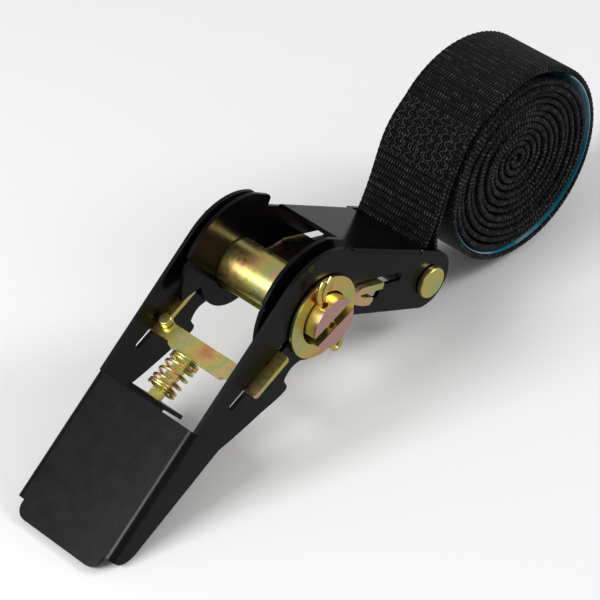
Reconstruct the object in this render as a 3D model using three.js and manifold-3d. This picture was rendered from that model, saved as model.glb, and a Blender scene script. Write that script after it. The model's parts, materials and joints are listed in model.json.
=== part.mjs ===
// Ratchet tie down for 25 mm webbing: pressed frame, lever handle, split spindle with two
// ratchet wheels, drive pawl, lock pawl, and a rolled strap sewn round the anchor bolt.
// Millimetres, +Z up. The buckle is built in its own side view (x towards the anchor bolt,
// y out of the frame's web, z along the spindle) and is then leaned over, so that it stands
// like a tent on the end of its handle and on the rolled strap.

import * as THREE from 'three';
import { mergeVertices } from 'three/addons/utils/BufferGeometryUtils.js';
import Module from 'manifold-3d';

const wasm = await Module();
wasm.setup();

// ---------------------------------------------------------------- driving dimensions
const GAP = 0.3; // running clearance between neighbouring pieces
const DEG = Math.PI / 180;

// pose of the whole object
const LEAN = 32.75 * DEG; // how far the frame slopes down towards the anchor bolt
const HANDLE_ANGLE = -110 * DEG; // handle direction measured from the frame's direction

// spindle and what turns with it
const SPINDLE_R = 7.4;
const SPINDLE_SLOT = 3.4; // gap between the two half-round bars
const SPINDLE_HALF_LENGTH = 23;
const SPINDLE_TURN = 50 * DEG; // direction of the flat faces
const BORE_R = 7.9; // plate holes that the spindle turns in
const WHEEL_TIP_R = 12.9;
const WHEEL_ROOT_R = 10.7;
const WHEEL_TEETH = 12;
const WHEEL_GAP_ANGLE = 11 * DEG; // middle of one tooth gap
const TOOTH_ROOT = 5.6; // half angle of a tooth at its root, degrees
const TOOTH_TIP = 4; // half angle of a tooth at its tip, degrees
const WHEEL_IN = 14.4;
const WHEEL_OUT = 16.3;
const WASHER_R = 12.15;
const WASHER_IN = 18.2;
const WASHER_OUT = 19.3;
const COTTER_Z = 20.9; // middle of the cotter pin along the spindle
const COTTER_WIRE_R = 0.5;

// frame: folded from 1.2 mm sheet
const SHEET = 1.2;
const FRAME_W = 14.1; // half the outer width
const FRAME_BEND_R = 1.9;
const FRAME_HUB_R = 20.6;
const FRAME_LOBE_R = 13;
const WEB_Y = 17.74;
const WEB_X0 = 9.9;
const WEB_X1 = 42.6;
const TAB_Y = 20.1; // plate corner that stands above the web
const TAB_X = 3.6;

// anchor bolt, bush and nut
const ANCHOR = new THREE.Vector2(51.2, 8.75);
const ANCHOR_LOBE_R = 8.85;
const BOLT_R = 3;
const BOLT_HEAD_R = 4.75;
const BOLT_HEAD_H = 1.9;
const BUSH_R = 4.05;
const NUT_ACROSS_FLATS = 9;
const NUT_H = 3.6;

// handle: folded from 1.2 mm sheet
const HANDLE_W = 17.83; // half the outer width
const HANDLE_BEND_R = 2.2;
const HANDLE_HUB_R = 19.4;
const GRIP_Y = -20.07; // outer face of the grip plate
const GRIP_X0 = 43.3;
const ARM_END = 82.2;
const GRIP_END = 86.6;
const GRIP_TONGUE_W = 14.9; // half width of the rounded end of the grip
const LIP_X = 41.5; // bent-down lip that the pawl spring pushes on
const LIP_DEPTH = 11;
const LIP_W = 6.5;
const LIP_Z = -1.3;

// drive pawl: a flat plate that slides along slots in the handle arms
const PAWL_TILT = -14 * DEG;
const PAWL_Y = -3.63; // middle of the plate, off the spindle axis
const PAWL_T = 1.5;
const PAWL_TIP = 13.6;
const PAWL_EAR_X0 = 15.3;
const PAWL_BAR_X0 = 24.3;
const PAWL_EAR_X1 = 29.15;
const PAWL_BAR_X1 = 30.1;
const PAWL_LEG_W = 14.4; // inner side of the legs
const PAWL_EAR_W = 21.5; // outer end of the ears
const PAWL_TAIL_W = 2;
const PAWL_TAIL_Z = -2.3; // the tail and its spring sit off the middle
const PAWL_TAIL_END = 48;
const PAWL_SLOT_X0 = 10.2;
const PAWL_SLOT_X1 = 35.5;
const PAWL_SLOT_HALF = 1.15;
const STUD_X = 25.2;
const STUD_Z = 14.1;
const STUD_R = 1.9;

// lock pawl: slides along slots in the frame plates
const LOCK_TILT = 11 * DEG;
const LOCK_W = 16.2;
const LOCK_TAIL_W = 2.2;
const LOCK_TAIL_END = 34;
const LOCK_TAB_X = 41.4;
const LOCK_TAB_Y = 6.5;
const LOCK_TAB_W = 5;

// springs
const SPRING_STEPS = 13; // straight pieces in one turn

// strap: 25 mm webbing, doubled where it is sewn
const STRAP_W = 12.5;
const STRAP_T = 1.5;
const ROLL = { x: 76.6, y: 44.4, a: 33.9, b: 30.4, z0: -12, z1: 13.5 };

// ---------------------------------------------------------------- materials
const paint = { color: 0x2c2d30, roughness: 0.35, metalness: 0.1 };
const zinc = { color: 0xd9c47e, roughness: 0.3, metalness: 0.9 };
const wire = { color: 0xcaa75a, roughness: 0.3, metalness: 0.9 };
const steel = { color: 0xb9bbbd, roughness: 0.35, metalness: 0.9 };
const webbing = { color: 0x1d1e21, roughness: 0.85, metalness: 0 };

// ---------------------------------------------------------------- helpers
function toManifold(geometry) {
  geometry.deleteAttribute('normal');
  geometry.deleteAttribute('uv');
  const merged = mergeVertices(geometry, 1e-4);
  return new wasm.Manifold(new wasm.Mesh({
    numProp: 3,
    vertProperties: merged.attributes.position.array,
    triVerts: new Uint32Array(merged.index.array),
  }));
}

function toGeometry(solid) {
  const mesh = solid.getMesh();
  const geometry = new THREE.BufferGeometry();
  geometry.setAttribute('position', new THREE.BufferAttribute(mesh.vertProperties, 3));
  geometry.setIndex(new THREE.BufferAttribute(mesh.triVerts, 1));
  geometry.computeVertexNormals();
  return geometry;
}

// a plate: the outline in the side view, from z0 to z1
function plate(shape, z0, z1, curveSegments = 12) {
  const geometry = new THREE.ExtrudeGeometry(shape, {
    depth: z1 - z0,
    bevelEnabled: false,
    curveSegments,
  });
  return toManifold(geometry.translate(0, 0, z0));
}

// a round bar along z
function bar(radius, z0, z1, x = 0, y = 0, sides = 36) {
  const geometry = new THREE.CylinderGeometry(radius, radius, z1 - z0, sides);
  return toManifold(geometry.rotateX(Math.PI / 2).translate(x, y, (z0 + z1) / 2));
}

function block(x0, x1, y0, y1, z0, z1) {
  const geometry = new THREE.BoxGeometry(x1 - x0, y1 - y0, z1 - z0);
  return toManifold(geometry.translate((x0 + x1) / 2, (y0 + y1) / 2, (z0 + z1) / 2));
}

function polygon(points) {
  return new THREE.Shape(points.map(([x, y]) => new THREE.Vector2(x, y)));
}

function polar(radius, degrees) {
  return [radius * Math.cos(degrees * DEG), radius * Math.sin(degrees * DEG)];
}

// a slot with round ends from x0 to x1
function roundSlot(x0, x1, y, half, z0, z1) {
  const shape = new THREE.Shape();
  shape.absarc(x0 + half, y, half, 90 * DEG, 270 * DEG);
  shape.absarc(x1 - half, y, half, -90 * DEG, 90 * DEG);
  return plate(shape, z0, z1, 8);
}

// a folded channel running along x, with its back at y and its open side towards `side`
function channel(x0, x1, y, half, depth, bend, side) {
  const inner = bend - SHEET;
  const outline = (w, top, radius) => {
    const shape = new THREE.Shape();
    shape.moveTo(-w, top + side * depth);
    shape.lineTo(-w, top + side * radius);
    shape.quadraticCurveTo(-w, top, -w + radius, top);
    shape.lineTo(w - radius, top);
    shape.quadraticCurveTo(w, top, w, top + side * radius);
    shape.lineTo(w, top + side * depth);
    return shape;
  };
  const along = (shape, from, to) => {
    const geometry = new THREE.ExtrudeGeometry(shape, {
      depth: to - from,
      bevelEnabled: false,
      curveSegments: 5,
    });
    return toManifold(geometry.rotateY(Math.PI / 2).translate(from, 0, 0));
  };
  const outer = along(outline(half, y, bend), x0, x1);
  return outer.subtract(along(outline(half - SHEET, y + side * SHEET, inner), x0 - 1, x1 + 1));
}

// the two mirrored side plates of a folded part
function plates(shape, half) {
  return plate(shape, half - SHEET, half).add(plate(shape, -half, SHEET - half));
}

class Coil extends THREE.Curve {
  constructor(radius, length, turns) {
    super();
    Object.assign(this, { radius, length, turns });
  }

  // the end turns lie closer together than the ones in the middle
  getPoint(t, target = new THREE.Vector3()) {
    const angle = 2 * Math.PI * this.turns * t;
    const spread = t - 0.11 * Math.sin(2 * Math.PI * t);
    return target.set(spread * this.length, this.radius * Math.cos(angle), this.radius * Math.sin(angle));
  }
}

function circle(radius, sides) {
  const points = [];
  for (let i = 0; i < sides; i += 1) {
    points.push(polar(radius, (360 * i) / sides));
  }
  return polygon(points);
}

function tube(path, radius, steps, sides = 6) {
  return new THREE.ExtrudeGeometry(circle(radius, sides), {
    extrudePath: path,
    steps,
    bevelEnabled: false,
  });
}

function springGeometry(x0, x1, y, radius, wireRadius, turns) {
  const coil = new Coil(radius, x1 - x0 - 2 * wireRadius, turns);
  return tube(coil, wireRadius, Math.round(turns * SPRING_STEPS)).translate(x0 + wireRadius, y, 0);
}

function add(group, name, source, look) {
  const geometry = source.isBufferGeometry ? source : toGeometry(source);
  const mesh = new THREE.Mesh(geometry, new THREE.MeshStandardMaterial(look));
  mesh.name = name;
  group.add(mesh);
}

// ---------------------------------------------------------------- frame
function framePlateShape(topX0) {
  const shape = new THREE.Shape();
  shape.moveTo(22, -1.9);
  shape.lineTo(50.6, -0.08);
  shape.absarc(ANCHOR.x, ANCHOR.y, ANCHOR_LOBE_R, -94 * DEG, 90 * DEG);
  shape.lineTo(topX0, WEB_Y);
  shape.lineTo(topX0, 17);
  shape.lineTo(TAB_X + 0.4, 17);
  shape.lineTo(TAB_X + 0.2, TAB_Y - 0.7);
  shape.lineTo(TAB_X - 0.7, TAB_Y);
  shape.absarc(0, 0, FRAME_HUB_R, 100 * DEG, 178 * DEG);
  shape.lineTo(...polar(FRAME_HUB_R - 0.9, 180));
  shape.lineTo(...polar(FRAME_HUB_R - 0.9, 182));
  shape.absarc(0, 0, FRAME_HUB_R - 0.3, 184 * DEG, 215 * DEG);
  shape.absarc(0, 0, FRAME_LOBE_R, 214 * DEG, 297 * DEG);
  return shape;
}

// outline of the folded lock pawl: a fork whose nose drops between the wheel teeth
const lockOutline = [
  [26.6, 8.9], [17.5, 7.05], [13.6, 4.7], [11.1, 3.5], [10.95, 2.5], [13.2, 2.3], [17, 2.1],
  [21, 1.7], [23.8, 2.05], [24.6, 3.3], [24.2, 4.4], [19, 4.3], [17.7, 4.9], [21.8, 5.85], [27.1, 7],
];

function lockSlot() {
  const along = new THREE.Vector2(Math.cos(LOCK_TILT), Math.sin(LOCK_TILT));
  const end = (x) => [x, 7.05 + (x - 17.5) * along.y / along.x];
  return polygon([
    [10.4, 2], [16.6, 1.6], [21, 1.2], [24.2, 1.6], [29.4, 3.3], [29.7, 5.3], [28.4, 6.8],
    [36.8, 8.5], [37.3, 9.4], [36.4, end(36.4)[1] + 0.5], [17.2, 7.6], [13.2, 5.2], [10.4, 4],
  ]);
}

function buildFrame() {
  const sides = plates(framePlateShape(WEB_X0), FRAME_W);
  const bends = block(WEB_X0, WEB_X1, WEB_Y - FRAME_BEND_R, WEB_Y + 1, -FRAME_W - 1, FRAME_W + 1);
  const rail = channel(WEB_X0, WEB_X1, WEB_Y, FRAME_W, 8, FRAME_BEND_R, -1);
  const tab = block(LOCK_TAB_X, WEB_X1, LOCK_TAB_Y, WEB_Y - 0.5, -LOCK_TAB_W, LOCK_TAB_W);
  return sides
    .subtract(bends)
    .add(rail)
    .add(tab)
    .subtract(bar(BORE_R, -20, 20))
    .subtract(plate(lockSlot(), -20, 20))
    .subtract(bar(BOLT_R + GAP, -20, 20, ANCHOR.x, ANCHOR.y, 24));
}

function buildBolt() {
  const underHead = FRAME_W + GAP;
  const tip = -FRAME_W - NUT_H - 1.6;
  const profile = [
    [0, tip], [BOLT_R - 0.5, tip], [BOLT_R, tip + 0.6], [BOLT_R, underHead],
    [BOLT_HEAD_R, underHead], [BOLT_HEAD_R, underHead + BOLT_HEAD_H - 0.6],
    [BOLT_HEAD_R - 0.2, underHead + BOLT_HEAD_H - 0.15], [BOLT_HEAD_R - 0.7, underHead + BOLT_HEAD_H],
    [BOLT_HEAD_R - 1.1, underHead + BOLT_HEAD_H - 0.25], [0, underHead + BOLT_HEAD_H - 0.25],
  ];
  const points = profile.map(([r, h]) => new THREE.Vector2(r, h));
  const geometry = new THREE.LatheGeometry(points, 36);
  return toManifold(geometry.rotateX(Math.PI / 2).translate(ANCHOR.x, ANCHOR.y, 0));
}

function buildNut() {
  const top = -FRAME_W - GAP;
  const hexagon = bar(NUT_ACROSS_FLATS / Math.sqrt(3), top - NUT_H, top, ANCHOR.x, ANCHOR.y, 6);
  return hexagon.subtract(bar(BOLT_R + 0.2, top - 10, top + 1, ANCHOR.x, ANCHOR.y, 24));
}

function buildBush() {
  const length = FRAME_W - SHEET - GAP;
  return bar(BUSH_R, -length, length, ANCHOR.x, ANCHOR.y, 30)
    .subtract(bar(BOLT_R + GAP, -20, 20, ANCHOR.x, ANCHOR.y, 24));
}

// ---------------------------------------------------------------- handle
function armShape(front) {
  const shape = new THREE.Shape();
  shape.moveTo(ARM_END, front);
  shape.lineTo(ARM_END, -16.6);
  shape.quadraticCurveTo(81.2, -12.8, 77, -11.94);
  shape.lineTo(43.8, -5.6);
  shape.quadraticCurveTo(38, -1.9, 29.5, 2.2);
  shape.quadraticCurveTo(24, 5.6, 21.6, 6.2);
  shape.quadraticCurveTo(20.2, 6.3, 20, 5);
  shape.lineTo(19.6, 3.1);
  shape.quadraticCurveTo(15.8, 1.2, 12.6, 4.4);
  shape.absarc(0, 0, 13.3, 19 * DEG, 158 * DEG);
  shape.quadraticCurveTo(-17.6, 0, ...polar(HANDLE_HUB_R, 198));
  shape.absarc(0, 0, HANDLE_HUB_R, 198 * DEG, 270 * DEG);
  shape.lineTo(GRIP_X0 - 1, -HANDLE_HUB_R);
  shape.lineTo(GRIP_X0, front);
  return shape;
}

function gripTongue() {
  const corner = 3.4;
  const w = GRIP_TONGUE_W;
  const outline = [];
  for (const side of [1, -1]) {
    for (let i = 0; i <= 6; i += 1) {
      const angle = (side > 0 ? 90 - 15 * i : -15 * i) * DEG;
      outline.push([
        GRIP_END - corner + corner * Math.cos(angle),
        side * (w - corner) + corner * Math.sin(angle),
      ]);
    }
  }
  outline.push([ARM_END - 2, -w], [ARM_END - 2, w]);
  const geometry = new THREE.ExtrudeGeometry(polygon(outline), { depth: SHEET, bevelEnabled: false });
  return toManifold(geometry.rotateX(-Math.PI / 2).translate(0, GRIP_Y, 0));
}

function gripLip() {
  const bottom = GRIP_Y + LIP_DEPTH;
  const shape = new THREE.Shape();
  shape.moveTo(GRIP_X0 + 2, GRIP_Y);
  shape.lineTo(GRIP_X0 + 2, GRIP_Y + SHEET);
  shape.lineTo(LIP_X + SHEET + 0.4, GRIP_Y + SHEET);
  shape.lineTo(LIP_X + SHEET, GRIP_Y + SHEET + 0.5);
  shape.lineTo(LIP_X + SHEET, bottom);
  shape.lineTo(LIP_X, bottom);
  shape.lineTo(LIP_X, GRIP_Y + 1.7);
  shape.quadraticCurveTo(LIP_X, GRIP_Y, LIP_X + 1.7, GRIP_Y);
  return plate(shape, LIP_Z - LIP_W, LIP_Z + LIP_W, 5);
}

function pawlSpace(solid) {
  return solid.rotate([0, 0, PAWL_TILT / DEG]);
}

function buildHandle() {
  const sides = plates(armShape(-HANDLE_HUB_R), HANDLE_W);
  const grip = channel(GRIP_X0, ARM_END, GRIP_Y, HANDLE_W, 24, HANDLE_BEND_R, 1);
  const folded = grip.intersect(plate(armShape(GRIP_Y), -HANDLE_W, HANDLE_W));
  const bends = block(GRIP_X0, 90, GRIP_Y - 1, GRIP_Y + HANDLE_BEND_R, -20, 20);
  const slots = roundSlot(PAWL_SLOT_X0, PAWL_SLOT_X1, PAWL_Y, PAWL_SLOT_HALF, -20, 20);
  const holeW = PAWL_TAIL_W + 0.6;
  const tailHole = block(LIP_X, LIP_X + 5, PAWL_Y - 1.3, PAWL_Y + 1.3, -holeW, holeW)
    .translate([0, 0, PAWL_TAIL_Z]);
  return sides
    .subtract(bends)
    .add(folded)
    .add(gripTongue())
    .add(gripLip())
    .subtract(bar(BORE_R, -20, 20))
    .subtract(pawlSpace(slots))
    .subtract(pawlSpace(tailHole));
}

// ---------------------------------------------------------------- drive pawl
function buildDrivePawl() {
  const half = [
    [PAWL_BAR_X1, 9.2], [PAWL_EAR_X1, 10.2],
    [PAWL_EAR_X1, PAWL_EAR_W - 0.6], [PAWL_EAR_X1 - 0.6, PAWL_EAR_W],
    [PAWL_EAR_X0 + 0.6, PAWL_EAR_W], [PAWL_EAR_X0, PAWL_EAR_W - 0.6], [PAWL_EAR_X0, WASHER_IN - 1],
    [PAWL_TIP, WASHER_IN - 1.6], [PAWL_TIP, PAWL_LEG_W],
    [PAWL_BAR_X0 - 1.4, PAWL_LEG_W], [PAWL_BAR_X0, PAWL_LEG_W - 1.4],
  ];
  const mirrored = half.map(([x, w]) => [x, -w]).reverse();
  const tail = new THREE.BoxGeometry(PAWL_TAIL_END - 26, PAWL_T, 2 * PAWL_TAIL_W)
    .translate((PAWL_TAIL_END + 26) / 2, PAWL_Y, PAWL_TAIL_Z);
  const geometry = new THREE.ExtrudeGeometry(polygon([...half, ...mirrored]), {
    depth: PAWL_T,
    bevelEnabled: false,
  });
  let solid = toManifold(geometry.rotateX(-Math.PI / 2).translate(0, PAWL_Y - PAWL_T / 2, 0))
    .add(toManifold(tail));
  for (const side of [1, -1]) {
    const hole = new THREE.CylinderGeometry(1.3, 1.3, 6, 16);
    solid = solid.subtract(toManifold(hole.translate(STUD_X, PAWL_Y, side * STUD_Z)));
  }
  return solid;
}

function buildStud(side) {
  const under = -PAWL_T / 2 - GAP;
  const profile = [
    [0, under - 1.8], [STUD_R - 0.3, under - 1.8], [STUD_R, under - 1.5], [STUD_R, under],
    [1, under], [1, -under], [1.7, -under], [1.7, 0.5 - under], [0, 0.7 - under],
  ];
  const points = profile.map(([r, h]) => new THREE.Vector2(r, h));
  return toManifold(new THREE.LatheGeometry(points, 20).translate(STUD_X, PAWL_Y, side * STUD_Z));
}

// ---------------------------------------------------------------- spindle
function buildSpindleHalf(side) {
  const flat = SPINDLE_SLOT / 2;
  const half = Math.acos(flat / SPINDLE_R);
  const shape = new THREE.Shape();
  shape.absarc(0, 0, SPINDLE_R, Math.PI / 2 - half, Math.PI / 2 + half);
  const pinHole = new THREE.CylinderGeometry(1.35, 1.35, 20, 16);
  let solid = plate(shape, -SPINDLE_HALF_LENGTH, SPINDLE_HALF_LENGTH, 20);
  for (const end of [COTTER_Z, -COTTER_Z]) {
    solid = solid.subtract(toManifold(pinHole.clone().translate(0, 0, end)));
  }
  return side > 0 ? solid : solid.rotate([0, 0, 180]);
}

function buildWheel(side) {
  const outline = [];
  const pitch = 360 / WHEEL_TEETH;
  const start = (WHEEL_GAP_ANGLE - SPINDLE_TURN) / DEG;
  for (let i = 0; i < WHEEL_TEETH; i += 1) {
    const middle = start + pitch * (i + 0.5);
    outline.push(polar(WHEEL_ROOT_R, middle - TOOTH_ROOT), polar(WHEEL_TIP_R, middle - TOOTH_TIP));
    outline.push(polar(WHEEL_TIP_R, middle + TOOTH_TIP), polar(WHEEL_ROOT_R, middle + TOOTH_ROOT));
    outline.push(polar(WHEEL_ROOT_R, middle + pitch / 2));
  }
  const bridge = SPINDLE_SLOT / 2 - GAP;
  const bores = bar(SPINDLE_R + GAP, 0, 40).subtract(block(-12, 12, -bridge, bridge, -1, 41));
  const wheel = plate(polygon(outline), WHEEL_IN, WHEEL_OUT).subtract(bores);
  return side > 0 ? wheel : wheel.translate([0, 0, -WHEEL_IN - WHEEL_OUT]);
}

function buildWasher(side) {
  const z0 = side > 0 ? WASHER_IN : -WASHER_OUT;
  return bar(WASHER_R, z0, z0 + WASHER_OUT - WASHER_IN, 0, 0, 48).subtract(bar(BORE_R, -40, 40));
}

// a split pin: two legs side by side through the spindle, an eye on top, tails bent apart
function cotterGeometry(side) {
  const leg = COTTER_WIRE_R + 0.08;
  const right = [
    [3.4, -10.6], [1.9, -10.1], [0.9, -9.2], [leg, -8], [leg, -4], [leg, 0], [leg, 4], [leg, 8], [1.1, 9.4],
    [2.6, 10.6], [2.7, 12.2], [1.5, 13.4],
  ];
  const left = right.map(([x, y]) => [-x, y]).reverse();
  const points = [...right, [0, 13.8], ...left].map(([x, y]) => new THREE.Vector3(x, y, 0));
  const path = new THREE.CatmullRomCurve3(points, false, 'centripetal');
  return tube(path, COTTER_WIRE_R, 64).translate(0, 0, side * COTTER_Z);
}

// ---------------------------------------------------------------- lock pawl
function buildLockPawl() {
  const fork = plate(polygon(lockOutline), -LOCK_W, LOCK_W);
  const tail = block(0, LOCK_TAIL_END - 26, -0.75, 0.75, -LOCK_TAIL_W, LOCK_TAIL_W)
    .rotate([0, 0, LOCK_TILT / DEG])
    .translate([26, 8, 0]);
  return fork.add(tail);
}

// ---------------------------------------------------------------- strap
function rollShape(grow = 0) {
  const shape = new THREE.Shape();
  shape.absellipse(ROLL.x, ROLL.y, ROLL.a + grow, ROLL.b + grow, 0, 2 * Math.PI);
  return shape;
}

function buildStrapRun() {
  const loopR = BUSH_R + GAP + STRAP_T;
  const shape = new THREE.Shape();
  shape.absarc(ANCHOR.x, ANCHOR.y, loopR, 180 * DEG, 385 * DEG);
  shape.quadraticCurveTo(49.2, 22, 47.6, 30);
  shape.lineTo(46, 39);
  shape.lineTo(42.3, 39);
  shape.quadraticCurveTo(43.8, 32, 45, 26);
  shape.quadraticCurveTo(46, 18, ANCHOR.x - loopR, ANCHOR.y);
  return plate(shape, -STRAP_W + GAP, STRAP_W - GAP, 16)
    .subtract(bar(BUSH_R + GAP, -20, 20, ANCHOR.x, ANCHOR.y, 24))
    .subtract(plate(rollShape(GAP), -20, 20, 40));
}

// ---------------------------------------------------------------- assembly
const model = new THREE.Group();
const buckle = new THREE.Group();
const handle = new THREE.Group();
const pawl = new THREE.Group();
const spindle = new THREE.Group();
const lock = new THREE.Group();
model.add(buckle);
buckle.add(handle, spindle, lock);
handle.add(pawl);
buckle.rotation.set(Math.PI / 2, LEAN, 0, 'YXZ');
handle.rotation.z = HANDLE_ANGLE;
pawl.rotation.z = PAWL_TILT;
spindle.rotation.z = SPINDLE_TURN;

add(buckle, 'frame_channel', buildFrame(), paint);
add(buckle, 'anchor_bolt', buildBolt(), zinc);
add(buckle, 'anchor_nut', buildNut(), zinc);
add(buckle, 'anchor_bush', buildBush(), steel);

add(handle, 'handle_channel', buildHandle(), paint);
add(pawl, 'drive_pawl', buildDrivePawl(), zinc);
add(pawl, 'drive_pawl_stud_near', buildStud(1), zinc);
add(pawl, 'drive_pawl_stud_far', buildStud(-1), zinc);
const driveSpring = springGeometry(PAWL_BAR_X1 + GAP, 42.2, PAWL_Y, 3.9, 0.4, 6.5);
add(pawl, 'drive_pawl_spring', driveSpring.translate(0, 0, PAWL_TAIL_Z), wire);

for (const [place, side] of [['near', 1], ['far', -1]]) {
  add(spindle, `ratchet_wheel_${place}`, buildWheel(side), paint);
  add(spindle, `washer_${place}`, buildWasher(side), zinc);
  add(spindle, `cotter_pin_${place}`, cotterGeometry(side), zinc);
}
add(spindle, 'spindle_half_front', buildSpindleHalf(1), zinc);
add(spindle, 'spindle_half_back', buildSpindleHalf(-1), zinc);

add(lock, 'lock_pawl', buildLockPawl(), zinc);
const lockSpring = springGeometry(0, LOCK_TAB_X - 28.6, 0, 2.9, 0.35, 6.5);
add(lock, 'lock_pawl_spring', lockSpring.rotateZ(LOCK_TILT).translate(27.4, 8.4, 0), wire);

add(buckle, 'strap_run', buildStrapRun(), webbing);
add(buckle, 'strap_roll', plate(rollShape(), ROLL.z0, ROLL.z1, 40), webbing);

// the origin is on the floor, under the middle of the object
const box = new THREE.Box3().setFromObject(model, true);
buckle.position.set(-(box.min.x + box.max.x) / 2, -(box.min.y + box.max.y) / 2, -box.min.z);

export default model;
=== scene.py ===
# %% [markdown]
# A ratchet tie down: a pressed black frame and handle, a yellow-zinc spindle with pawls
# and split pins, and a black woven strap rolled up beside it.
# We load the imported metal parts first. They stay where they are, and everything that is
# made here is placed by their own measures.

# %% Load the metal parts
import json
import math

import bmesh
import bpy
import numpy as np
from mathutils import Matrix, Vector

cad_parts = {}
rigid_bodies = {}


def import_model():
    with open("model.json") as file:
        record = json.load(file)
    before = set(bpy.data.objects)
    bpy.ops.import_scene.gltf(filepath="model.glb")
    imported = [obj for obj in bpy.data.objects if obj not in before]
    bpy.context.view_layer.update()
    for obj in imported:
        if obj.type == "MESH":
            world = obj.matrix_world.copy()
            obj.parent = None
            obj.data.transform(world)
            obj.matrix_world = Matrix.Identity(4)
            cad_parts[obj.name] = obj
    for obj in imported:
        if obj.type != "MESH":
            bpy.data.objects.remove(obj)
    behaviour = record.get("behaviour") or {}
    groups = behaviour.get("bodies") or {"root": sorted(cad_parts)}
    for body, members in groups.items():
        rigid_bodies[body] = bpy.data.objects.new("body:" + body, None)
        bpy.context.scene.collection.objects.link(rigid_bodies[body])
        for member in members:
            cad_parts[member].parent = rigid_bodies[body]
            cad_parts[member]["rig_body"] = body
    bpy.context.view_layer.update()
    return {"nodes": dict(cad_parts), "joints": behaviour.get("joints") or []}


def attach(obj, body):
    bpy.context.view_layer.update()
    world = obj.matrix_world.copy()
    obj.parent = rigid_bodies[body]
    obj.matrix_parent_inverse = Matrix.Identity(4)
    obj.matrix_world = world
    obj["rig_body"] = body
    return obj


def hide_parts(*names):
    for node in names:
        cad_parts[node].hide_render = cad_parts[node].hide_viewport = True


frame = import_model()
MM = 0.001
LEAN = math.radians(32.75)
JOINTS = {j["name"]: j for j in frame["joints"]}
HUB = Vector(JOINTS["handle_hinge"]["pos_m"])
print("parts", len(frame["nodes"]), "spindle axis", tuple(HUB))


# %% [markdown]
# The buckle leans over. A drawing of it is made in its own side view: `x` runs towards
# the anchor bolt, `y` out of the frame's back, and `w` along the spindle. This function
# turns such a point, in millimetres, into a place in the scene.

# %% Side view to scene
def place(x, y, w=0.0):
    return Vector((
        HUB.x + (x * math.cos(LEAN) + y * math.sin(LEAN)) * MM,
        HUB.y - w * MM,
        HUB.z + (y * math.cos(LEAN) - x * math.sin(LEAN)) * MM,
    ))


def turned(u, v, degrees):
    angle = math.radians(degrees)
    return (u * math.cos(angle) - v * math.sin(angle), u * math.sin(angle) + v * math.cos(angle))


DRIVE_PAWL_ANGLE = -124  # degrees, each pawl's own direction in the side view
LOCK_PAWL_ANGLE = 11

# %% [markdown]
# Many of Blender's tools work on the piece that is picked, so a helper picks one.

# %% Pick a piece
def pick(piece):
    bpy.ops.object.select_all(action="DESELECT")
    piece.select_set(True)
    bpy.context.view_layer.objects.active = piece


def add_to_scene(name, data):
    piece = bpy.data.objects.new(name, data)
    bpy.context.scene.collection.objects.link(piece)
    return piece


# %% [markdown]
# The camera stands to the front left and looks down at the buckle with a long lens, so
# that parallel edges stay nearly parallel.

# %% Camera
LENS = 162.65
SEEN_FROM = Vector((-387.9, -376.1, 471.8))  # millimetres from the spindle's middle
AIMED_AT = Vector((3.31, -7.53, -3.11))
camera_data = bpy.data.cameras.new("camera")
camera_data.lens = LENS
camera_data.sensor_width = 36
camera_data.clip_start = 0.01
camera = add_to_scene("camera", camera_data)
camera.location = HUB + SEEN_FROM * MM
target = HUB + AIMED_AT * MM
camera.rotation_euler = (target - camera.location).to_track_quat("-Z", "Y").to_euler()
bpy.context.scene.camera = camera

# %% [markdown]
# Materials are built from nodes. A small helper keeps the wiring short: it makes a node,
# sets its inputs, and links any input that is another node's output.

# %% Node helper
def material(name, base, metallic=0.0, roughness=0.4, **more):
    made = bpy.data.materials.new(name)
    made.use_nodes = True
    shader = made.node_tree.nodes["Principled BSDF"]
    shader.inputs["Base Color"].default_value = (*base, 1)
    shader.inputs["Metallic"].default_value = metallic
    shader.inputs["Roughness"].default_value = roughness
    for key, value in more.items():
        shader.inputs[key.replace("_", " ")].default_value = value
    return made, made.node_tree, shader


def node(tree, kind, inputs=None, **settings):
    made = tree.nodes.new(kind)
    for key, value in settings.items():
        setattr(made, key, value)
    for key, value in (inputs or {}).items():
        if isinstance(value, bpy.types.NodeSocket):
            tree.links.new(value, made.inputs[key])
        else:
            made.inputs[key].default_value = value
    return made


def maths(tree, operation, a, b=0.0):
    return node(tree, "ShaderNodeMath", {0: a, 1: b}, operation=operation).outputs[0]


def noise(tree, scale, detail=3.0, roughness=0.5):
    where = node(tree, "ShaderNodeTexCoord").outputs["Object"]
    found = node(tree, "ShaderNodeTexNoise", {"Vector": where, "Scale": scale, "Detail": detail})
    found.inputs["Roughness"].default_value = roughness
    return found.outputs["Fac"]


def ramp(tree, value, stops):
    made = node(tree, "ShaderNodeValToRGB", {"Fac": value})
    while len(made.color_ramp.elements) < len(stops):
        made.color_ramp.elements.new(0.5)
    for element, (at, colour) in zip(made.color_ramp.elements, stops):
        element.position = at
        element.color = (*colour, 1)
    return made.outputs["Color"]


def bump(tree, shader, height, strength, distance):
    inputs = {"Height": height, "Strength": strength, "Distance": distance}
    made = node(tree, "ShaderNodeBump", inputs)
    tree.links.new(made.outputs["Normal"], shader.inputs["Normal"])


# %% [markdown]
# The frame and the handle are stove-enamelled black. The enamel is glossy and slightly
# uneven, and it is rubbed a little lighter in places.

# %% Black enamel
def enamel(name, dark, light, low, high):
    made, tree, shader = material(name, dark, IOR=1.24)
    patches = noise(tree, 55, 4)
    tree.links.new(ramp(tree, patches, [(0.35, dark), (0.75, light)]), shader.inputs["Base Color"])
    rough = node(tree, "ShaderNodeMapRange", {
        "Value": noise(tree, 240, 5), "To Min": low, "To Max": high,
    })
    tree.links.new(rough.outputs[0], shader.inputs["Roughness"])
    bump(tree, shader, noise(tree, 900, 2), 0.05, 0.0002)
    return made


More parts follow.
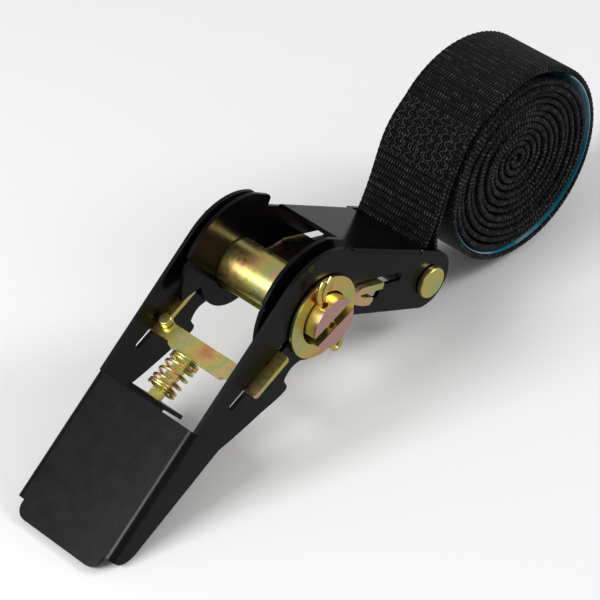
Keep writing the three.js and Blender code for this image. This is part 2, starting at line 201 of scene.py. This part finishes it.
frame_paint = enamel(
    "gloss_black_enamel", (0.0015, 0.0015, 0.0018), (0.003, 0.003, 0.0035), 0.14, 0.24)
handle_paint = enamel(
    "satin_black_enamel", (0.002, 0.0022, 0.0028), (0.0035, 0.004, 0.005), 0.2, 0.32)


# %% [markdown]
# Yellow chromate over zinc shifts between yellow, green, pink and orange in soft
# patches. Slow noise picks the colour from a ramp and fine noise dulls the shine. The
# spindle's sawn end faces are pinker than its barrel.

# %% Yellow zinc
def yellow_zinc(name, scale, shift=0.0):
    made, tree, shader = material(name, (0.8, 0.62, 0.25), metallic=1.0, roughness=0.27)
    patches = maths(tree, "ADD", noise(tree, scale, 2, 0.45), shift)
    colours = [
        (0.30, (0.78, 0.36, 0.18)),
        (0.40, (0.86, 0.62, 0.20)),
        (0.50, (0.74, 0.66, 0.20)),
        (0.58, (0.58, 0.64, 0.24)),
        (0.66, (0.84, 0.60, 0.28)),
        (0.76, (0.86, 0.46, 0.40)),
    ]
    tree.links.new(ramp(tree, patches, colours), shader.inputs["Base Color"])
    fine = node(tree, "ShaderNodeMapRange", {
        "Value": noise(tree, 700, 4), "To Min": 0.18, "To Max": 0.42,
    })
    tree.links.new(fine.outputs[0], shader.inputs["Roughness"])
    bump(tree, shader, noise(tree, 1100, 2), 0.02, 0.0002)
    return made


zinc = yellow_zinc("yellow_zinc", 95)
zinc_pink = yellow_zinc("yellow_zinc_pink", 60, 0.17)
zinc_barrel = yellow_zinc("yellow_zinc_barrel", 70, 0.0)


END_PINK = (0.74, 0.44, 0.38)
SPINDLE_FACE = 0.0226  # metres from the middle, just inside the spindle's end faces


def pink_ends(look, beyond):
    tree = look.node_tree
    shader = tree.nodes["Principled BSDF"]
    found = shader.inputs["Base Color"].links[0].from_socket
    where = node(tree, "ShaderNodeTexCoord").outputs["Object"]
    across = node(tree, "ShaderNodeSeparateXYZ", {0: where}).outputs[1]
    end = maths(tree, "GREATER_THAN", maths(tree, "ABSOLUTE", across), beyond)
    inputs = {0: end, 6: found, 7: (*END_PINK, 1)}
    mixed = node(tree, "ShaderNodeMix", inputs, data_type="RGBA")
    tree.links.new(mixed.outputs[2], shader.inputs["Base Color"])


pink_ends(zinc_barrel, SPINDLE_FACE)
wire_steel = yellow_zinc("spring_wire", 260, -0.08)


# %% [markdown]
# Polyester webbing is woven in ribs. The strap gets a map of its own: one direction
# counts millimetres across it and the other millimetres along it. Short floats of yarn
# stand in rows across the strap, and each row is set half a float aside from the last.
# On the strap's edges the yarn turns back, so they show a line of small dots. The tops of
# the floats and the edge dots are painted light grey, as a painted glint of the yarn's sheen.

# %% Webbing
RIB = 2.1
FLOAT = 0.95
DOT = 1.25


def webbing_material(name, painted_glint_colour, base_colour):
    made, tree, shader = material(name, base_colour, roughness=0.5, Specular_IOR_Level=0.14)
    where = node(tree, "ShaderNodeUVMap", uv_map="weave").outputs[0]
    split = node(tree, "ShaderNodeSeparateXYZ", {0: where})
    across, along = split.outputs[0], split.outputs[1]
    row = maths(tree, "FLOOR", maths(tree, "DIVIDE", along, RIB))
    half = maths(tree, "MULTIPLY", maths(tree, "MODULO", row, 2.0), 0.5)
    turn = maths(tree, "ADD", maths(tree, "DIVIDE", across, FLOAT), half)
    yarn = maths(tree, "ABSOLUTE", maths(tree, "SINE", maths(tree, "MULTIPLY", turn, math.pi)))
    rib = maths(tree, "ABSOLUTE", maths(tree, "SINE", maths(tree, "MULTIPLY", along, math.pi / RIB)))
    face = maths(tree, "MULTIPLY", yarn, rib)
    dot = maths(tree, "ABSOLUTE", maths(tree, "SINE", maths(tree, "MULTIPLY", along, math.pi / DOT)))
    edge = node(tree, "ShaderNodeAttribute", attribute_name="edge").outputs["Fac"]
    dots = maths(tree, "POWER", dot, 1.6)
    height = node(tree, "ShaderNodeMix", {0: edge, 2: face, 3: dots}).outputs[0]
    uneven = node(tree, "ShaderNodeMapRange", {
        "Value": noise(tree, 420, 3), "From Min": 0.35, "From Max": 0.7,
    })
    # Painted glint: the raised yarn and the edge dots are coloured lighter grey for the sheen of
    # light on them.
    painted_glint = maths(tree, "MULTIPLY", maths(tree, "POWER", height, 3.0), uneven.outputs[0])
    colour = ramp(tree, painted_glint, [(0.15, base_colour), (0.95, painted_glint_colour)])
    tree.links.new(colour, shader.inputs["Base Color"])
    bump(tree, shader, height, 1.0, 0.0006)
    return made


# The first colour is the painted glint on the raised yarn, and the second is the black of the yarn.
webbing = webbing_material("black_webbing", (0.085, 0.085, 0.09), (0.0012, 0.0012, 0.0014))

# %% [markdown]
# A pressed part has soft edges where the paint catches the light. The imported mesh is
# loose triangles, so a copy of it is merged, its flat faces are joined, and a narrow
# bevel is laid along every sharp edge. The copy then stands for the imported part.

# %% Soft-edged copies of the metal parts
def soft_copy(part, look, bevel=0.14, angle=32):
    source = frame["nodes"][part]
    made = add_to_scene(part + "_finished", source.data.copy())
    mesh = bmesh.new()
    mesh.from_mesh(made.data)
    bmesh.ops.remove_doubles(mesh, verts=mesh.verts, dist=2e-6)
    bmesh.ops.dissolve_limit(mesh, angle_limit=math.radians(1.0), verts=mesh.verts, edges=mesh.edges)
    mesh.to_mesh(made.data)
    mesh.free()
    made.data.materials.clear()
    made.data.materials.append(look)
    for face in made.data.polygons:
        face.use_smooth = True
    rim = made.modifiers.new("rim", "BEVEL")
    rim.width = bevel * MM
    rim.segments = 2
    rim.limit_method = "ANGLE"
    rim.angle_limit = math.radians(angle)
    rim.use_clamp_overlap = True
    pick(made)
    bpy.ops.object.modifier_apply(modifier="rim")
    bpy.ops.object.shade_smooth_by_angle(angle=math.radians(50))
    flat = made.modifiers.new("flat", "WEIGHTED_NORMAL")
    flat.mode = "FACE_AREA"
    flat.weight = 100
    flat.keep_sharp = True
    bpy.ops.object.modifier_apply(modifier="flat")
    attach(made, source["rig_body"])
    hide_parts(part)
    print(part, "faces", len(made.data.polygons))
    return made


FINISHES = {
    "frame_channel": (frame_paint, "frame_paint"),
    "handle_channel": (handle_paint, "handle_paint"),
    "ratchet_wheel_near": (frame_paint, "frame_paint"),
    "ratchet_wheel_far": (frame_paint, "frame_paint"),
    "anchor_bolt": (zinc, "yellow_zinc"),
    "anchor_nut": (zinc, "yellow_zinc"),
    "anchor_bush": (zinc, "plain_steel"),
    "drive_pawl": (zinc, "yellow_zinc"),
    "drive_pawl_stud_near": (zinc, "yellow_zinc"),
    "drive_pawl_stud_far": (zinc, "yellow_zinc"),
    "washer_near": (zinc, "yellow_zinc"),
    "washer_far": (zinc, "yellow_zinc"),
    "spindle_half_front": (zinc_barrel, "yellow_zinc"),
    "spindle_half_back": (zinc_barrel, "yellow_zinc"),
    "lock_pawl": (zinc_pink, "yellow_zinc"),
}
for part, (look, slot) in FINISHES.items():
    soft_copy(part, look)

# %% [markdown]
# A spring and a split pin are wire, and a stitch is thread. A curve is laid through the
# line that the wire follows, and a round section makes it a closed tube.

# %% Wire pieces
def tube(name, runs, radius, round_steps, look):
    line = bpy.data.curves.new(name, "CURVE")
    line.dimensions = "3D"
    line.bevel_depth = radius * MM
    line.bevel_resolution = round_steps
    line.use_fill_caps = True
    for points in runs:
        spline = line.splines.new("POLY")
        spline.points.add(len(points) - 1)
        for knot, point in zip(spline.points, points):
            knot.co = (*point, 1)
    pick(add_to_scene(name, line))
    bpy.ops.object.convert(target="MESH")
    made = bpy.context.view_layer.objects.active
    bpy.ops.object.shade_smooth()
    made.data.materials.clear()
    made.data.materials.append(look)
    return made


def wire(name, points, radius, look, body, stands_for):
    made = tube(name, [points], radius, 4, look)
    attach(made, body)
    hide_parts(stands_for)
    print(name, "points", len(points))
    return made


def coil(u0, u1, v, w, radius, turns, degrees, lift=(0.0, 0.0)):
    points = []
    steps = int(turns * 28)
    for i in range(steps + 1):
        t = i / steps
        spread = t - 0.11 * math.sin(2 * math.pi * t)
        angle = 2 * math.pi * turns * t + 1.2
        u = u0 + spread * (u1 - u0)
        side = v + radius * math.cos(angle)
        x, y = turned(u, side, degrees)
        points.append(place(x + lift[0], y + lift[1], w + radius * math.sin(angle)))
    return points


wire("drive_spring_wire", coil(30.9, 41.0, -3.63, -2.3, 3.9, 6.5, DRIVE_PAWL_ANGLE), 0.4,
     wire_steel, "handle", "drive_pawl_spring")
wire("lock_spring_wire", coil(0.4, 12.3, 0.0, 0.0, 2.9, 6.5, LOCK_PAWL_ANGLE, (27.4, 8.4)), 0.35,
     wire_steel, "frame", "lock_pawl_spring")

# %% [markdown]
# Each split pin goes through the spindle across its slot. It has an eye on one side, and
# its two legs are bent over the washer on the other.

# %% Split pins
SPINDLE_TURN = 50
PIN_R = 0.72
PIN = [
    (5.2, 13.4), (3.2, 12.3), (1.4, 10.8), (0.78, 9.2), (0.78, 0), (0.78, -8),
    (1.6, -9.4), (1.9, -10.9), (1.0, -12.1), (-1.0, -12.1), (-1.9, -10.9), (-1.6, -9.4),
    (-0.78, -8), (-0.78, 0), (-0.78, 9.6), (-0.5, 11.6), (0.6, 13.2), (2.3, 14.4),
]


def distances_along(points):
    steps = np.linalg.norm(np.diff(points, axis=0), axis=1)
    return np.concatenate([[0], np.cumsum(steps)])


def smooth_line(points, count, passes=6):
    p = np.array(points, float)
    far = distances_along(p)
    at = np.linspace(0, far[-1], count)
    even = np.stack([np.interp(at, far, p[:, k]) for k in range(2)], axis=1)
    for _ in range(passes):
        even[1:-1] = (even[:-2] + 2 * even[1:-1] + even[2:]) / 4
    return even


for end, w in (("near", 20.9), ("far", -20.9)):
    path = [place(*turned(x, y, SPINDLE_TURN), w) for x, y in smooth_line(PIN, 150)]
    name = f"split_pin_{end}"
    wire(name, path, PIN_R, zinc, "spindle", f"cotter_pin_{end}")

# %% [markdown]
# The strap is one length of 25 mm webbing. Its tail starts near the top of the roll,
# comes down the outside, goes round the bush on the anchor bolt and back up, and is sewn
# to itself. From there it runs over the top and winds in, about thirteen turns, to a
# small folded core. We draw the middle line in the side view, then sweep the webbing's
# section along it.

# %% The strap's middle line
T = 1.7
BUSH = (51.2, 8.75)
LOOP_R = 5.25
tail = [
    (61.3, 69.3), (57.2, 66.7), (53.6, 63.3), (50.4, 59.6), (47.8, 55.6), (45.7, 51.4),
    (44.1, 47.2), (43.3, 43), (43.4, 39.4), (44.0, 35.6), (44.9, 31), (45.7, 26),
    (46.1, 20.5), (46.0, 15),
]
loop = [
    (BUSH[0] + LOOP_R * math.cos(a), BUSH[1] + LOOP_R * math.sin(a))
    for a in np.radians(np.arange(190, 381, 14))
]
back = [
    (54.0, 14.6), (50.6, 18.6), (48.3, 23), (47.4, 28), (46.6, 32), (45.8, 36), (45.25, 40),
]
TURNS = 13.2

# turn, middle x and y, half width and half height of the roll at that turn
ROLL = [
    (0.0, 76.6, 44.4, 31.4, 29.5),
    (0.16, 76.6, 44.4, 33.0, 29.5),
    (0.6, 76.6, 44.4, 33.0, 29.5),
    (1.0, 77.2, 43.6, 29.9, 26.8),
    (TURNS, 71.5, 46.2, 1.7, 1.4),
]


def roll_at(tau):
    keys = np.array(ROLL)
    angle = math.pi - 2 * math.pi * tau
    return angle, *(np.interp(tau, keys[:, 0], keys[:, k]) for k in range(1, 5))


def winding():
    points = []
    for tau in np.arange(0.0, TURNS, 1 / 48):
        angle, x, y, a, b = roll_at(tau)
        wobble = 1 + 0.008 * math.sin(3 * angle + tau) * min(1.0, tau)
        points.append((x + a * wobble * math.cos(angle), y + b * wobble * math.sin(angle)))
    return points


drawn = np.array(tail + loop + back + winding())
STEP = 0.45
count = int(distances_along(drawn)[-1] / STEP)
line = smooth_line(drawn, count, passes=40)
far = distances_along(line)


# %% [markdown]
# The section is a flat oval of 26 points. Each rib of the weave makes the webbing a
# little thicker, the edges of neighbouring turns are not quite flush, and the tail's end
# is cut at a slant.

# %% Sweep the webbing
HALF_WIDTH = 12.5


def section():
    points = []
    for i in range(11):
        points.append((12.2 - 2.44 * i, 0.5))
    points += [(-12.5, 0.3), (-12.6, 0.0), (-12.5, -0.3)]
    for i in range(11):
        points.append((-12.2 + 2.44 * i, -0.5))
    points += [(12.5, -0.3), (12.6, 0.0), (12.5, 0.3)]
    return np.array(points)


def face_outwards(piece, smooth_up_to):
    pick(piece)
    bpy.ops.object.mode_set(mode="EDIT")
    bpy.ops.mesh.select_all(action="SELECT")
    bpy.ops.mesh.normals_make_consistent(inside=False)
    bpy.ops.object.mode_set(mode="OBJECT")
    bpy.ops.object.shade_smooth_by_angle(angle=math.radians(smooth_up_to))


def side_normals(path):
    tangent = np.gradient(path, axis=0)
    tangent /= np.linalg.norm(tangent, axis=1)[:, None]
    return tangent, np.stack([-tangent[:, 1], tangent[:, 0]], axis=1)


def edge_share(w):
    return 1.0 if abs(w) > 12.3 else 0.0


def sweep(name, path, distances, thickness, shift, slant):
    ring = section()
    tangent, normal = side_normals(path)
    verts, faces, along = [], [], []
    for i, (p, t, n, s) in enumerate(zip(path, tangent, normal, distances)):
        rib = 1 + 0.13 * math.cos(2 * math.pi * s / RIB)
        for w, h in ring:
            reach = slant * (w / HALF_WIDTH) * max(0.0, 1 - s / 30)
            side = w * (1 - 0.004 * (1 - math.cos(2 * math.pi * s / DOT))) + shift(s)
            q = p + n * h * thickness * rib - t * reach
            verts.append(place(q[0], q[1], side))
            along.append(s)
    m = len(ring)
    for i in range(len(path) - 1):
        for k in range(m):
            a, b = i * m + k, i * m + (k + 1) % m
            faces.append((a, a + m, b + m, b))
    faces.append(tuple(range(m)))
    faces.append(tuple(range(len(verts) - 1, len(verts) - 1 - m, -1)))
    mesh = bpy.data.meshes.new(name)
    mesh.from_pydata(verts, [], faces)
    made = add_to_scene(name, mesh)
    uv = mesh.uv_layers.new(name="weave")
    rim = mesh.attributes.new("edge", "FLOAT", "POINT")
    rim.data.foreach_set("value", [edge_share(ring[i % m][0]) for i in range(len(verts))])
    corner = np.zeros(len(mesh.loops), int)
    mesh.loops.foreach_get("vertex_index", corner)
    flat = np.stack([ring[corner % m][:, 0], np.array(along)[corner]], axis=1)
    uv.data.foreach_set("uv", flat.ravel())
    for face in mesh.polygons:
        face.use_smooth = True
    face_outwards(made, 60)
    return made


def flush(s):
    share = min(1.0, max(0.0, (s - 120) / 80))
    return share * (0.75 + 0.28 * math.sin(s / 37) + 0.18 * math.sin(s / 11.3))


strap = sweep("strap_webbing", line, far, T, flush, 5.5)
strap.data.materials.append(webbing)
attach(strap, "strap")
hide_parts("strap_run", "strap_roll")
print("strap faces", len(strap.data.polygons))

# %% [markdown]
# Where the webbing is doubled it is sewn together with rows of zigzag stitches in black
# thread. Each row is a thin tube that lies on the outside of the tail.

# %% Stitching
thread, thread_tree, thread_shader = material("black_thread", (0.006, 0.006, 0.007), roughness=0.6)
bump(thread_tree, thread_shader, noise(thread_tree, 2500, 2), 0.5, 0.0002)
STITCH_FROM, STITCH_TO, STITCH_STEP = 7.0, 39.0, 1.3
ROWS = [-10.2 + 2.55 * i for i in range(9)]
THREAD_R = 0.17
ZIGZAG = 0.6
roll_middle = np.array(ROLL[0][1:3])
rows = []
for row, w in enumerate(ROWS):
    stops = np.arange(STITCH_FROM, STITCH_TO, STITCH_STEP / 2)
    points = []
    for i, s in enumerate(stops):
        p = np.array([np.interp(s, far, line[:, k]) for k in range(2)])
        q = np.array([np.interp(s + 0.5, far, line[:, k]) for k in range(2)])
        ahead = (q - p) / np.linalg.norm(q - p)
        out = np.array([-ahead[1], ahead[0]])
        out *= np.sign(np.dot(out, p - roll_middle))
        lift = 0.5 * T + (0.22 if i % 2 else 0.02)
        p = p + out * lift
        sway = ZIGZAG if (i // 2 + row) % 2 else -ZIGZAG
        points.append(place(p[0], p[1], w + sway + 0.3 * math.sin(5.1 * i + row)))
    rows.append(points)
stitching = tube("stitching", rows, THREAD_R, 2, thread)
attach(stitching, "strap")
print("stitching rows", len(ROWS), "faces", len(stitching.data.polygons))

# %% [markdown]
# A thin blank label lies between the outer turn and the next one. Only its edge shows,
# teal and white, as a fine line that follows the turn most of the way round.

# %% Blank label
label_look, label_tree, label_shader = material("blank_label", (0.75, 0.85, 0.88), roughness=0.45)
TEAL = (0.01, 0.2, 0.3)
PALE = (0.45, 0.62, 0.68)
label_mix = ramp(label_tree, noise(label_tree, 60, 2), [(0.45, TEAL), (0.72, PALE)])
label_tree.links.new(label_mix, label_shader.inputs["Base Color"])


def ribbon(name, path, w0, w1, thickness, look):
    _, normal = side_normals(path)
    verts, faces = [], []
    for p, n in zip(path, normal):
        for w, h in ((w0, -0.5), (w1, -0.5), (w1, 0.5), (w0, 0.5)):
            q = p + n * h * thickness
            verts.append(place(q[0], q[1], w))
    for i in range(len(path) - 1):
        for k in range(4):
            a, b = i * 4 + k, i * 4 + (k + 1) % 4
            faces.append((a, a + 4, b + 4, b))
    faces += [(0, 1, 2, 3), tuple(len(verts) - 1 - k for k in range(4))]
    mesh = bpy.data.meshes.new(name)
    mesh.from_pydata(verts, [], faces)
    made = add_to_scene(name, mesh)
    made.data.materials.append(look)
    face_outwards(made, 50)
    return made


UNDER = 1.12  # the label's depth below the outer turn's middle line
label_line = []
for tau in np.arange(0.28, 0.93, 0.01):
    angle, x, y, a, b = roll_at(tau)
    label_line.append((x + (a - UNDER) * math.cos(angle), y + (b - UNDER) * math.sin(angle)))
label = ribbon("blank_label", np.array(label_line), -9.0, 12.8, 0.25, label_look)
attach(label, "strap")

# %% [markdown]
# A pale floor carries the part. One large soft light stands above on the left and a
# weaker one on the right, in even white surroundings. The metal doesn't mirror the floor.

# %% Floor and light
bpy.ops.object.select_all(action="DESELECT")
bpy.ops.mesh.primitive_plane_add(size=6, location=(0, 0, 0))
floor = bpy.context.view_layer.objects.active
floor.name = "floor"
PALE_GREY = (0.82, 0.82, 0.82)
floor_look, _, _ = material("pale_floor", PALE_GREY, roughness=0.9, Specular_IOR_Level=0.1)
floor.data.materials.append(floor_look)
floor.visible_glossy = False
world = bpy.data.worlds.new("surrounding")
bpy.context.scene.world = world
world.use_nodes = True
world.node_tree.nodes["Background"].inputs[0].default_value = (1, 1, 1, 1)
world.node_tree.nodes["Background"].inputs[1].default_value = 0.42


def soft_light(name, location, power, size):
    data = bpy.data.lights.new(name, "AREA")
    data.energy = power
    data.size = size
    made = add_to_scene(name, data)
    made.location = location
    made.rotation_euler = (Vector((0, 0, 0.04)) - made.location).to_track_quat("-Z", "Y").to_euler()


soft_light("key", Vector((-0.75, 0.2, 0.6)), 8.0, 0.4)
soft_light("fill", Vector((0.6, -0.5, 0.6)), 4.0, 0.35)
bpy.context.scene.view_settings.view_transform = "Standard"
